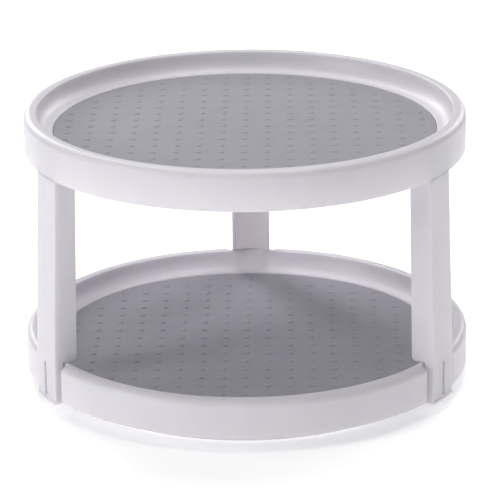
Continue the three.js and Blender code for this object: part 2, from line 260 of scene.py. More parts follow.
class ShaderGraph(Graph):
    """The node tree of one material, with the patterns that the finishes share."""

    def __init__(self, name: str) -> None:
        """Make the material and its shader.

        Args:
            name: The material's name.
        """
        self.material = bpy.data.materials.new(name)
        self.material.use_nodes = True
        super().__init__(self.material.node_tree)
        self.tree.nodes.clear()
        self.place = self.out("ShaderNodeTexCoord", output="Object")
        self.shader = self.node("ShaderNodeBsdfPrincipled")
        self.node("ShaderNodeOutputMaterial", inputs={"Surface": self.shader.outputs["BSDF"]})

    def noise(self, grain: float, detail: float = 2.0, stretch: Sequence[float] = (1, 1, 1)) -> Field:
        """Add a noise pattern.

        Args:
            grain: Size of the pattern's grains in millimetres.
            detail: How many finer layers it has.
            stretch: How much denser the pattern is along each axis.

        Returns:
            The pattern, about 0.5 on average.
        """
        sized = self.out(
            "ShaderNodeVectorMath",
            {"operation": "MULTIPLY"},
            {0: self.place, 1: tuple(s / (grain * MM) for s in stretch)},
        )
        return self.out("ShaderNodeTexNoise", inputs={"Vector": sized, "Scale": 1.0, "Detail": detail})

    def blended(self, share: Value, first: Colour, second: Colour) -> Field:
        """Mix two colours, each given as red, green and blue or as a socket.

        Args:
            share: How much of the second colour shows.
            first: The colour at share 0.
            second: The colour at share 1.

        Returns:
            The mixed colour.
        """
        near, far = (c if isinstance(c, Field) else (*c, 1.0) for c in (first, second))
        settings = {"data_type": "RGBA"}
        return self.out("ShaderNodeMix", settings, {"Factor": share, 6: near, 7: far}, output=2)

    def relief(self, height: Value, depth: float, strength: float) -> Field:
        """Add a bump.

        Args:
            height: The pattern that gives the relief.
            depth: Millimetres between its lowest and highest places.
            strength: How much of it shows.

        Returns:
            The bumped normal.
        """
        inputs = {"Height": height, "Distance": depth * MM, "Strength": strength}
        return self.out("ShaderNodeBump", inputs=inputs)

    def dress(self, inputs: Mapping[str, Value]) -> bpy.types.Material:
        """Set the shader's own sockets.

        Args:
            inputs: Values or links by socket name.

        Returns:
            The finished material.
        """
        self.feed(self.shader, inputs)
        return self.material


class ShapeGraph(Graph):
    """A Geometry Nodes tree with named inputs."""

    def __init__(self, name: str) -> None:
        """Make the tree with its geometry input and output.

        Args:
            name: The tree's name.
        """
        super().__init__(bpy.data.node_groups.new(name, "GeometryNodeTree"))
        face = self.tree.interface
        face.new_socket("Geometry", in_out="INPUT", socket_type="NodeSocketGeometry")
        face.new_socket("Geometry", in_out="OUTPUT", socket_type="NodeSocketGeometry")
        self.entry = self.tree.nodes.new("NodeGroupInput")
        self.exit = self.tree.nodes.new("NodeGroupOutput")
        self.values: dict[str, object] = {}

    def given(self, name: str, kind: str, value: object) -> Field:
        """Add a named input with the value that this use gives it.

        Args:
            name: The input's name.
            kind: The socket type's ending, such as Float.
            value: The value that the modifier gets.

        Returns:
            The input, inside the tree.
        """
        socket = self.tree.interface.new_socket(
            name, in_out="INPUT", socket_type=f"NodeSocket{kind}"
        )
        self.values[socket.identifier] = value
        return Field(self, self.entry.outputs[name])

    def incoming(self) -> Field:
        """Return the geometry that the tree gets."""
        return Field(self, self.entry.outputs["Geometry"])

    def length(self, name: str, size: float) -> Field:
        """Add a named length, given in millimetres."""
        return self.given(name, "Float", size * MM)

    def ring_points(self, number: int, reach: float, first: float, level: float) -> tuple[Field, Field]:
        """Add points spaced evenly round the turning axis, with their figures as named inputs.

        Args:
            number: How many there are.
            reach: Radius of their circle in millimetres.
            first: Direction of the first one in degrees.
            level: Their height in millimetres.

        Returns:
            The points, and the direction of each as a turn about Z.
        """
        count = self.given("Count", "Int", number)
        radius = self.length("Circle", reach)
        start = self.given("Start", "Float", math.radians(first))
        height = self.length("Height", level)
        index = self.out("GeometryNodeInputIndex")
        angle = start + index * (2 * math.pi) / count
        across = {"X": radius * angle.cosine(), "Y": radius * angle.sine(), "Z": height}
        place = self.out("ShaderNodeCombineXYZ", inputs=across)
        points = self.out("GeometryNodePoints", inputs={"Count": count, "Position": place})
        turn = self.out("ShaderNodeCombineXYZ", inputs={"Z": angle})
        return points, turn

    def copies(self, points: Field, item: Field, turn: Field | None = None) -> Field:
        """Put a copy of a shape on each point, as real geometry.

        Args:
            points: Where the copies go.
            item: The shape.
            turn: The rotation of each copy, if they are turned.

        Returns:
            The realized copies.
        """
        inputs: dict[str, Value] = {"Points": points, "Instance": item}
        if turn is not None:
            inputs["Rotation"] = self.out("FunctionNodeEulerToRotation", inputs={"Euler": turn})
        placed = self.out("GeometryNodeInstanceOnPoints", inputs=inputs)
        return self.out("GeometryNodeRealizeInstances", inputs={"Geometry": placed})

    def bored(self, points: Field, radius: float, tall: float, sides: int) -> Field:
        """Bore a round pocket at each point of the incoming geometry.

        Args:
            points: The middles of the pockets.
            radius: A pocket's radius in millimetres.
            tall: The boring tool's height in millimetres.
            sides: How many sides stand for the circle.

        Returns:
            The bored geometry.
        """
        wide = self.length("Pocket Radius", radius)
        deep = self.length("Pocket Height", tall)
        sizes = {"Vertices": sides, "Radius": wide, "Depth": deep}
        plug = self.out("GeometryNodeMeshCylinder", inputs=sizes)
        plugs = self.copies(points, plug)
        settings = {"operation": "DIFFERENCE", "solver": "EXACT"}
        return self.out("GeometryNodeMeshBoolean", settings, {0: self.incoming(), 1: plugs})

    def run(self, part: "Part", result: Field, material: bpy.types.Material) -> "Part":
        """End the tree, run it on a part's mesh and keep the plain result.

        Args:
            part: The part whose mesh goes in.
            result: The geometry that comes out.
            material: The material that the tree sets.

        Returns:
            The same part with its new mesh.
        """
        solid = self.out("GeometryNodeRealizeInstances", inputs={"Geometry": result})
        done = self.out("GeometryNodeSetMaterial", inputs={"Geometry": solid, "Material": material})
        self.tree.links.new(done.socket, self.exit.inputs[0])
        modifier = part.obj.modifiers.new(self.tree.name, "NODES")
        modifier.node_group = self.tree
        for identifier, value in self.values.items():
            modifier[identifier] = value
        return part.settled()


# ---------------------------------------------------------------------------
# Outlines and meshes
# ---------------------------------------------------------------------------


@dataclass
class Outline:
    """A flat chain of points in millimetres, drawn stretch by stretch."""

    points: list[Point] = field(default_factory=list)

    def to(self, *corners: Point) -> "Outline":
        """Add straight stretches to each corner in turn."""
        self.points.extend(corners)
        return self

    def arc(self, centre: Point, radius: float, start: float, end: float, steps: int = 6) -> "Outline":
        """Add an arc.

        Args:
            centre: The arc's centre.
            radius: Its radius.
            start: Its first direction in degrees.
            end: Its last direction in degrees.
            steps: How many straight pieces stand for it.

        Returns:
            This outline.
        """
        for i in range(steps + 1):
            angle = math.radians(start + (end - start) * i / steps)
            x, y = centre
            self.points.append((x + radius * math.cos(angle), y + radius * math.sin(angle)))
        return self

    def bend(self, control: Point, end: Point, steps: int = 12) -> "Outline":
        """Add a quadratic curve from the last point.

        Args:
            control: The point that the curve leans towards.
            end: Where it ends.
            steps: How many straight pieces stand for it.

        Returns:
            This outline.
        """
        start = self.points[-1]
        for i in range(1, steps + 1):
            t = i / steps
            weights = ((1 - t) ** 2, 2 * t * (1 - t), t * t)
            self.points.append(
                tuple(sum(w * p[k] for w, p in zip(weights, (start, control, end))) for k in (0, 1))
            )
        return self

    def chain(self) -> list[Point]:
        """Return the points without the repeats that joined stretches leave."""
        kept = [self.points[0]]
        for point in self.points[1:]:
            if math.dist(point, kept[-1]) > SAME_POINT:
                kept.append(point)
        return kept


@dataclass
class Part:
    """A mesh object with its place in its mesh, made from points in millimetres."""

    obj: bpy.types.Object

    @classmethod
    def made(cls, name: str, points: Sequence[Sequence[float]], faces: Sequence[Sequence[int]]) -> "Part":
        """Make an object from points and faces.

        Args:
            name: The object's name.
            points: Corners in millimetres.
            faces: Corner numbers of each face.

        Returns:
            The part.
        """
        mesh = bpy.data.meshes.new(name)
        mesh.from_pydata([[c * MM for c in p] for p in points], [], faces)
        mesh.validate()
        obj = bpy.data.objects.new(name, mesh)
        bpy.context.scene.collection.objects.link(obj)
        return cls(obj)

    def settled(self) -> "Part":
        """Turn the mesh with its modifiers into a plain mesh and remove them."""
        bpy.context.view_layer.update()
        seen = self.obj.evaluated_get(bpy.context.evaluated_depsgraph_get())
        mesh = bpy.data.meshes.new_from_object(seen)
        self.obj.modifiers.clear()
        self.obj.data = mesh
        mesh.name = self.obj.name
        return self

    def combined(self, other: "Part", how: Join) -> "Part":
        """Join another closed part to this one or cut it away, and remove the other.

        Args:
            other: The part that is used up.
            how: Whether it is added or cut away.

        Returns:
            This part.
        """
        modifier = self.obj.modifiers.new("combine", "BOOLEAN")
        modifier.operation = how.value
        modifier.solver = "EXACT"
        modifier.object = other.obj
        self.settled()
        bpy.data.objects.remove(other.obj)
        return self

    def turned(self, degrees: float) -> "Part":
        """Turn the mesh about the turning axis."""
        self.obj.data.transform(Matrix.Rotation(math.radians(degrees), 4, "Z"))
        return self

    def smooth(self, above: float = 35.0) -> "Part":
        """Shade the mesh smooth, except at edges that turn by more than some degrees."""
        self.obj.data.shade_smooth()
        self.obj.data.set_sharp_from_angle(angle=math.radians(above))
        return self

    def finished(self, material: bpy.types.Material, body: Body, slot: Slot, nodes: Sequence[str]) -> None:
        """Dress the part and hand it to the frame.

        Args:
            material: Its material.
            body: The CAD body that it rides on.
            slot: The record's slot of its finish; not used.
            nodes: The CAD nodes that it stands for.
        """
        self.smooth()
        self.obj.data.materials.clear()
        self.obj.data.materials.append(material)
        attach(self.obj, body.value)
        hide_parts(*nodes)
        count = len(self.obj.data.polygons)
        LOG.info("%s: %d faces, rides on %s", self.obj.name, count, body.value)


def on_circle(radius: float, degrees: float, height: float) -> tuple[float, float, float]:
    """Return the point at a radius, a direction and a height."""
    angle = math.radians(degrees)
    return radius * math.cos(angle), radius * math.sin(angle), height


def lathe(name: str, chain: Sequence[Point], segments: int) -> Part:
    """Turn a chain of (radius, height) points about the Z axis.

    Args:
        name: The new object's name.
        chain: Points that go round the section against the clock, from the axis or closed.
        segments: How many steps the full turn has.

    Returns:
        A closed part.
    """
    ends_on_axis = chain[0][0] < ON_AXIS and chain[-1][0] < ON_AXIS
    points: list[Sequence[float]] = []
    rings: list[list[int]] = []
    for radius, height in chain:
        first = len(points)
        if radius < ON_AXIS:
            points.append((0.0, 0.0, height))
            rings.append([first] * segments)
        else:
            points.extend(on_circle(radius, 360 * j / segments, height) for j in range(segments))
            rings.append(list(range(first, first + segments)))
    pairs = list(zip(rings, rings[1:]))
    if not ends_on_axis:
        pairs.append((rings[-1], rings[0]))
    faces = []
    for near, far in pairs:
        for j in range(segments):
            k = (j + 1) % segments
            loop = [near[j], near[k], far[k], far[j]]
            faces.append([v for i, v in enumerate(loop) if v != loop[i - 1]])
    return Part.made(name, points, faces)


def prism(name: str, levels: Sequence[tuple[Sequence[Point], float]]) -> Part:
    """Join flat outlines of equal length, one above the other, into a closed part.

    Args:
        name: The new object's name.
        levels: Outlines against the clock seen from above, each with its height.

    Returns:
        The part.
    """
    size = len(levels[0][0])
    points = [(x, y, z) for outline, z in levels for x, y in outline]
    faces: list[list[int]] = [list(range(size))[::-1]]
    for level in range(len(levels) - 1):
        low = level * size
        for i in range(size):
            k = (i + 1) % size
            faces.append([low + i, low + k, low + size + k, low + size + i])
    faces.append([len(points) - size + i for i in range(size)])
    return Part.made(name, points, faces)


def box_of(node: str) -> tuple[Vector, Vector]:
    """Return a CAD node's lowest and highest corners in millimetres."""
    low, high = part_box(node)
    return low / MM, high / MM


# ---------------------------------------------------------------------------
# Finishes
# ---------------------------------------------------------------------------


@dataclass(frozen=True)
class MouldedPlastic:
    """Satin moulded plastic: a fine spark-eroded grain, flow clouds and a few dull scuffs."""

    name: str
    tint: tuple[float, float, float]
    cloud: tuple[float, float, float]
    roughness: float = 0.36
    grain: float = 0.55
    grain_depth: float = 0.012
    grain_share: float = 0.6
    cloud_size: float = 34.0
    cloud_edges: tuple[float, float] = (0.35, 0.7)
    scuff_size: float = 2.6
    scuff_stretch: tuple[float, float, float] = (1.0, 0.3, 1.6)
    scuff_edges: tuple[float, float] = (0.6, 0.78)
    scuff_share: float = 0.12
    scuff_shade: float = 0.94
    uneven: float = 0.1
    refraction: float = 1.49
    translucence: float = 0.7
    light_reach: float = 7.0
    light_spread: tuple[float, float, float] = (1.0, 0.94, 0.86)

    def material(self) -> bpy.types.Material:
        """Build the material.

        Returns:
            The material.
        """
        graph = ShaderGraph(self.name)
        clouds = graph.noise(self.cloud_size, detail=3.0).eased(*self.cloud_edges)
        fine = graph.noise(self.grain, detail=3.0)
        scuffs = graph.noise(self.scuff_size, 4.0, self.scuff_stretch).eased(*self.scuff_edges)
        colour = graph.blended(clouds, self.tint, self.cloud)
        dull = tuple(self.scuff_shade * c for c in self.cloud)
        return graph.dress(
            {
                "Base Color": graph.blended(scuffs * self.scuff_share, colour, dull),
                "Roughness": self.roughness + self.uneven * fine + self.uneven * scuffs,
                "Normal": graph.relief(fine, self.grain_depth, self.grain_share),
                "IOR": self.refraction,
                "Subsurface Weight": self.translucence,
                "Subsurface Radius": self.light_spread,
                "Subsurface Scale": self.light_reach * MM,
            }
        )


@dataclass(frozen=True)
class NonSlipSheet:
    """Soft grey foamed sheet: a matt open grain, pores and a faint mottle."""

    name: str
    tint: tuple[float, float, float]
    mottle: tuple[float, float, float]
    roughness: float = 0.62
    uneven: float = 0.14
    grain: float = 0.7
    grain_depth: float = 0.05
    grain_share: float = 0.7
    mottle_size: float = 9.0
    mottle_edges: tuple[float, float] = (0.3, 0.75)
    pore_size: float = 1.1
    pore_edges: tuple[float, float] = (0.62, 0.72)
    pore_share: float = 0.16
    pore_shade: float = 0.72
    pore_depth: float = 0.35
    sheen: float = 0.08
    sheen_roughness: float = 0.6

    def material(self) -> bpy.types.Material:
        """Build the material.

        Returns:
            The material.
        """
        graph = ShaderGraph(self.name)
        grain = graph.noise(self.grain, detail=4.0)
        mottle = graph.noise(self.mottle_size, detail=3.0).eased(*self.mottle_edges)
        pores = graph.noise(self.pore_size, detail=1.0).eased(*self.pore_edges)
        colour = graph.blended(mottle, self.tint, self.mottle)
        dark = tuple(self.pore_shade * c for c in self.tint)
        pitted = grain - self.pore_depth * pores
        return graph.dress(
            {
                "Base Color": graph.blended(pores * self.pore_share, colour, dark),
                "Roughness": self.roughness + self.uneven * grain,
                "Normal": graph.relief(pitted, self.grain_depth, self.grain_share),
                "Sheen Weight": self.sheen,
                "Sheen Roughness": self.sheen_roughness,
            }
        )


@dataclass(frozen=True)
class SoftRubber:
    """Dark rubber of the feet, with a dusty bloom."""

    name: str
    tint: tuple[float, float, float]
    bloom: tuple[float, float, float]
    roughness: float = 0.7
    dust_size: float = 3.0
    dust_edges: tuple[float, float] = (0.45, 0.8)
    dust_share: float = 0.5
    grain: float = 0.4
    grain_depth: float = 0.02

    def material(self) -> bpy.types.Material:
        """Build the material.

        Returns:
            The material.
        """
        graph = ShaderGraph(self.name)
        dust = graph.noise(self.dust_size, detail=4.0).eased(*self.dust_edges)
        fine = graph.noise(self.grain)
        return graph.dress(
            {
                "Base Color": graph.blended(dust * self.dust_share, self.tint, self.bloom),
                "Roughness": self.roughness + 0.2 * dust,
                "Normal": graph.relief(fine, self.grain_depth, 0.5),
            }
        )


@dataclass(frozen=True)
class BrightSteel:
    """Ground steel of the balls and of the screw and washer: fine scratches, thin oil stains."""

    name: str
    tint: tuple[float, float, float] = (0.62, 0.62, 0.64)
    stain: tuple[float, float, float] = (0.5, 0.48, 0.45)
    roughness: float = 0.2
    scratch_size: float = 0.35
    scratch_stretch: tuple[float, float, float] = (0.08, 1.0, 1.0)
    scratch_depth: float = 0.004
    stain_size: float = 5.0
    stain_edges: tuple[float, float] = (0.5, 0.8)
    stain_share: float = 0.6

    def material(self) -> bpy.types.Material:
        """Build the material.

        Returns:
            The material.
        """
        graph = ShaderGraph(self.name)
        scratches = graph.noise(self.scratch_size, 3.0, self.scratch_stretch)
        stains = graph.noise(self.stain_size, detail=3.0).eased(*self.stain_edges)
        return graph.dress(
            {
                "Base Color": graph.blended(stains * self.stain_share, self.tint, self.stain),
                "Metallic": 1.0,
                "Roughness": self.roughness + 0.12 * scratches + 0.15 * stains,
                "Normal": graph.relief(scratches, self.scratch_depth, 0.4),
            }
        )


@dataclass(frozen=True)
class StudioPaper:
    """The pale floor: matt white paper with a barely visible tooth, glowing like a light table."""

    name: str = "studio_paper"
    tint: tuple[float, float, float] = (0.955, 0.955, 0.955)
    tooth: tuple[float, float, float] = (0.93, 0.93, 0.93)
    tooth_size: float = 60.0
    roughness: float = 0.9
    shine: float = 0.1
    glow: float = 0.45

    def material(self) -> bpy.types.Material:
        """Build the material.

        Returns:
            The material.
        """
        graph = ShaderGraph(self.name)
        tooth = graph.noise(self.tooth_size)
        return graph.dress(
            {
                "Base Color": graph.blended(tooth, self.tint, self.tooth),
                "Roughness": self.roughness,
                "Specular IOR Level": self.shine,
                "Emission Color": (1.0, 1.0, 1.0, 1.0),
                "Emission Strength": self.glow,
            }
        )


@dataclass
class Finishes:
    """The materials of the object, made once."""

    shell: bpy.types.Material
    mat: bpy.types.Material
    rubber: bpy.types.Material
    steel: bpy.types.Material
    cage: bpy.types.Material

    @classmethod
    def made(cls) -> "Finishes":
        """Build every material.

        Returns:
            The set.
        """
        white = MouldedPlastic("white_shell", (0.742, 0.717, 0.768), (0.722, 0.697, 0.748))
        sheet = NonSlipSheet("grey_sheet", (0.322, 0.313, 0.360), (0.304, 0.296, 0.342))
        rubber = SoftRubber("foot_rubber_dark", (0.06, 0.06, 0.063), (0.15, 0.15, 0.15))
        natural = MouldedPlastic("natural_cage", (0.66, 0.65, 0.58), (0.62, 0.61, 0.55), roughness=0.42)
        return cls(
            shell=white.material(),
            mat=sheet.material(),
            rubber=rubber.material(),
            steel=BrightSteel("bright_steel").material(),
            cage=natural.material(),
        )


# ---------------------------------------------------------------------------
# Trays
# ---------------------------------------------------------------------------


@dataclass
class TraySizes:
    """Section of a tray. The rim's radius and its bottom edge come from the CAD node."""

    radius: float
    bottom: float
    rim_height: float = 26.0
    rim_wall: float = 2.4
    rim_round: float = 5.0
    lip_round: float = 1.2
    lip_width: float = 9.0
    rim_width: float = 16.5
    ledge_width: float = 3.0
    ledge_rise: float = 3.0
    ledge_round: float = 0.8
    floor_wall: float = 2.5
    floor_lift: float = 7.2
    edge_round: float = 0.6

    @property
    def floor_top(self) -> float:
        """Height of the recess that the mat lies in."""
        return self.bottom + self.floor_lift + self.floor_wall

    @property
    def floor_under(self) -> float:
        """Height of the floor's underside."""
        return self.bottom + self.floor_lift

    @property
    def top(self) -> float:
        """Height of the lip."""
        return self.bottom + self.rim_height

    def rim(self) -> Outline:
        """Draw the section from the floor's underside, round the rim, to the recess.

        Returns:
            The open chain, against the clock.
        """
        lip = self.radius - self.lip_width
        ledge = self.radius - self.rim_width
        recess = ledge - self.ledge_width
        ledge_top = self.floor_top + self.ledge_rise
        inside = self.radius - self.rim_wall
        soft = self.edge_round
        corner = self.rim_wall / 2
        draw = Outline().to((recess + corner, self.floor_under))
        draw.bend(
            (lip + corner, self.floor_under + self.floor_lift / 2),
            (lip + self.rim_wall, self.top - self.rim_wall),
            steps=18,
        )
        inner = self.rim_round - self.rim_wall
        draw.arc((inside - inner, self.top - self.rim_round), inner, 90, 0, steps=6)
        draw.arc((inside + soft, self.bottom + soft), soft, 180, 270, steps=4)
        draw.arc((self.radius - soft, self.bottom + soft), soft, 270, 360, steps=5)
        shoulder = (self.radius - self.rim_round, self.top - self.rim_round)
        draw.arc(shoulder, self.rim_round, 0, 90, steps=12)
        draw.arc((lip + self.lip_round, self.top - self.lip_round), self.lip_round, 90, 180, steps=6)
        draw.bend((lip - corner, ledge_top + self.rim_wall), (ledge, ledge_top), steps=18)
        bead = (recess + self.ledge_round, ledge_top - self.ledge_round)
        draw.arc(bead, self.ledge_round, 90, 180, steps=6)
        return draw.to((recess, self.floor_top))


def split_at(chain: Sequence[Point], radius: float) -> tuple[list[Point], int, int]:
    """Put a point on a chain at both places where it crosses a radius.

    Args:
        chain: A chain that starts inside that radius, runs outside it and comes back.
        radius: The radius.

    Returns:
        The chain, and the numbers of the two new points.
    """
    out: list[Point] = [chain[0]]
    marks: list[int] = []
    for near, far in zip(chain, chain[1:]):
        if (near[0] - radius) * (far[0] - radius) < 0:
            share = (radius - near[0]) / (far[0] - near[0])
            marks.append(len(out))
            out.append((radius, near[1] + share * (far[1] - near[1])))
        out.append(far)
    return out, marks[0], marks[-1]


def held_within(chain: Sequence[Point], limit: float) -> list[Point]:
    """Cut a chain off at a radius, with a straight stretch along the cut.

    Args:
        chain: The chain.
        limit: The largest radius that is kept.

    Returns:
        The shorter chain.
    """
    out: list[Point] = []
    for near, far in zip(chain, chain[1:]):
        if near[0] <= limit:
            out.append(near)
        if (near[0] - limit) * (far[0] - limit) < 0:
            share = (limit - near[0]) / (far[0] - near[0])
            out.append((limit, near[1] + share * (far[1] - near[1])))
    out.append(chain[-1])
    return Outline(out).chain()


def inward(chain: Sequence[Point]) -> list[Point]:
    """Return the directions that point into the wall at each point of a chain that runs against the clock."""
    normals: list[Point] = []
    last = len(chain) - 1
    for i in range(len(chain)):
        before = chain[max(i - 1, 0)]
        after = chain[min(i + 1, last)]
        dx, dy = after[0] - before[0], after[1] - before[1]
        length = math.hypot(dx, dy)
        normals.append((-dy / length, dx / length))
    return normals


class Column(NamedTuple):
    """One column of the notched tray's skin, which runs along the section."""

    section: list[Point]
    turns: list[float]
    opens: bool = False
    ends: bool = False


class Strip(NamedTuple):
    """The corner numbers of one column, with the undivided stretches before and after it."""

    low: list[int]
    middle: list[int]
    high: list[int]
    column: Column


@dataclass
class NotchedRim:
    """Builds a tray whose rim is cut by one notch for each leg, with a tongue left in each notch.

    The mesh is one closed skin. Its columns run along the section, and where a stretch of rim
    ends they lean so that the end face is flat and square to the rim, with a rounded edge.
    """

    inner: list[Point]
    outer: list[Point]
    depth_radius: float
    half: float
    tongue_half: float
    tongue_face: float
    edge: float = 0.55
    edge_steps: int = 3
    steps: int = 96
    points: list[Sequence[float]] = field(default_factory=list)
    faces: list[list[int]] = field(default_factory=list)

    def chain_ends(self) -> tuple[list[Point], list[Point], list[Point]]:
        """Split the full section at the notches' inner face.

        Returns:
            The underside up to that face, the rim outside it, and the top from it inwards.
        """
        chain, low, high = split_at(self.outer, self.depth_radius)
        under = self.inner + chain[:low]
        return under, chain[low : high + 1], chain[high + 1 :]

    def column(self, chain: Sequence[Point], turns: Sequence[float]) -> list[int]:
        """Add one column of points, each at its own direction, and return their numbers."""
        start = len(self.points)
        self.points.extend(on_circle(r, turn, z) for (r, z), turn in zip(chain, turns))
        return list(range(start, start + len(chain)))

    def skin(self, near: Sequence[int], far: Sequence[int]) -> None:
        """Close the strip between two neighbouring columns."""
        for i in range(len(near) - 1):
            self.faces.append([near[i], near[i + 1], far[i + 1], far[i]][::-1])

    def lean(self, chain: Sequence[Point], across: Sequence[float], leg: float, way: int) -> list[float]:
        """Return the direction of each point of a chain that stands some way aside of a leg's middle."""
        return [leg + way * math.degrees(math.asin(a / r)) for (r, _), a in zip(chain, across)]

    def rounded_end(
        self, chain: Sequence[Point], aside: float, inwards: int
    ) -> list[tuple[list[Point], list[float]]]:
        """Work out the columns of a rounded end, from its flat face to the full section.

        Args:
            chain: The rim's section, whose two ends stay where they are.
            aside: How far aside of the leg's middle the flat face is.
            inwards: 1 where the material lies further aside, -1 where it lies nearer.

        Returns:
            The section and its distances aside, for each column.
        """
        normals = inward(chain)
        last = len(chain) - 1
        columns = []
        for k in range(self.edge_steps + 1):
            turn = math.radians(90 * k / self.edge_steps)
            inset = self.edge * (1 - math.sin(turn))
            shift = inwards * self.edge * (1 - math.cos(turn))
            section = [
                p if i in (0, last) else (p[0] + inset * n[0], p[1] + inset * n[1])
                for i, (p, n) in enumerate(zip(chain, normals))
            ]
            columns.append((section, [aside + shift] * len(chain)))
        return columns

    def build(self, name: str, legs: Sequence[float]) -> Part:
        """Build the tray.

        Args:
            name: The new object's name.
            legs: Directions of the legs in degrees, in rising order.

        Returns:
            The closed part.
        """
        under, rim, over = self.chain_ends()
        tongue = held_within(rim, self.tongue_face)
        columns: list[Column] = []
        for leg, after in zip(legs, [*legs[1:], legs[0] + 360]):
            columns += self.tongue_columns(tongue, leg)
            columns += self.span_columns(rim, leg, after)
        self.close(columns, under, over)
        return Part.made(name, self.points, self.faces)

    def opening(self, chain: list[Point], aside: float, inwards: int, leg: float, way: int) -> list[Column]:
        """Work out the columns of the end at which a stretch of rim begins.

        Args:
            chain: The stretch's section.
            aside: How far aside of the leg's middle its flat face is.
            inwards: 1 where the material lies further aside, -1 where it lies nearer.
            leg: The leg's direction in degrees.
            way: 1 on the side of the leg that is against the clock, else -1.

        Returns:
            The columns, from the flat face inwards.
        """
        ends = self.rounded_end(chain, aside, inwards)
        return [Column(s, self.lean(s, a, leg, way), opens=k == 0) for k, (s, a) in enumerate(ends)]

    def closing(self, chain: list[Point], aside: float, inwards: int, leg: float, way: int) -> list[Column]:
        """Work out the columns of the end at which a stretch stops, as `opening` does, in reverse."""
        columns = self.opening(chain, aside, inwards, leg, way)[::-1]
        return [c._replace(opens=False, ends=c.opens) for c in columns]

    def tongue_columns(self, tongue: list[Point], leg: float) -> list[Column]:
        """Work out the columns of the tongue in one leg's notch."""
        middle = Column(tongue, [leg] * len(tongue))
        start = self.opening(tongue, self.tongue_half, -1, leg, -1)
        return [*start, middle, *self.closing(tongue, self.tongue_half, -1, leg, 1)]

    def span_columns(self, rim: list[Point], leg: float, after: float) -> list[Column]:
        """Work out the columns of the rim between two legs."""
        start = self.opening(rim, self.half, 1, leg, 1)
        end = self.closing(rim, self.half, 1, after, -1)
        between = []
        for j in range(1, self.steps):
            share = j / self.steps
            turns = [a + share * (b - a) for a, b in zip(start[-1].turns, end[0].turns)]
            between.append(Column(rim, turns))
        return [*start, *between, *end]

    def close(self, columns: list[Column], under: list[Point], over: list[Point]) -> None:
        """Turn the columns into one closed skin.

        Args:
            columns: All columns, once round.
            under: The section's underside inside the notches.
            over: The section's top inside the notches.
        """
        made = []
        for column in columns:
            low = self.column(under, [column.turns[0]] * len(under))
            high = self.column(over, [column.turns[-1]] * len(over))
            made.append(Strip(low, self.column(column.section, column.turns), high, column))
        for near, far in zip(made, [*made[1:], made[0]]):
            self.skin([*near.low, near.middle[0]], [*far.low, far.middle[0]])
            self.skin([near.middle[-1], *near.high], [far.middle[-1], *far.high])
            self.faces.append([far.high[-1], far.low[0], near.low[0], near.high[-1]])
            if near.column.ends:
                self.faces.append([far.middle[0], far.middle[-1], near.middle[-1], near.middle[0]])
            else:
                self.skin(near.middle, far.middle)
        for strip in made:
            if strip.column.opens:
                self.faces.append(strip.middle)
            if strip.column.ends:
                self.faces.append(strip.middle[::-1])


@dataclass(frozen=True)
class BallCircle:
    """The circle that the balls run on, and the grooved races above and below them."""

    ball: float
    reach: float
    height: float
    race_width: float = 9.2
    from_ball: float = 1.6

    @classmethod
    def read(cls) -> "BallCircle":
        """Read the circle from the first ball's box, which lies on +X."""
        low, high = box_of("ball_01")
        return cls((high.z - low.z) / 2, (high.x + low.x) / 2, (high.z + low.z) / 2)

    def race(self, root: float, side: int) -> list[Point]:
        """Draw a grooved race.

        Args:
            root: Height of the surface that it stands on.
            side: 1 for the race above the balls, -1 for the one below.

        Returns:
            Points of the section, from the inside outwards.
        """
        groove = self.ball + SEAT_GAP
        half = self.race_width / 2
        face = self.height + side * self.from_ball
        start = side * math.degrees(math.asin(self.from_ball / groove))
        inside, outside = self.reach - half, self.reach + half
        draw = Outline().to((inside, root), (inside, face))
        draw.arc((self.reach, self.height), groove, side * 180 - start, start, steps=10)
        return draw.to((outside, face), (outside, root)).chain()


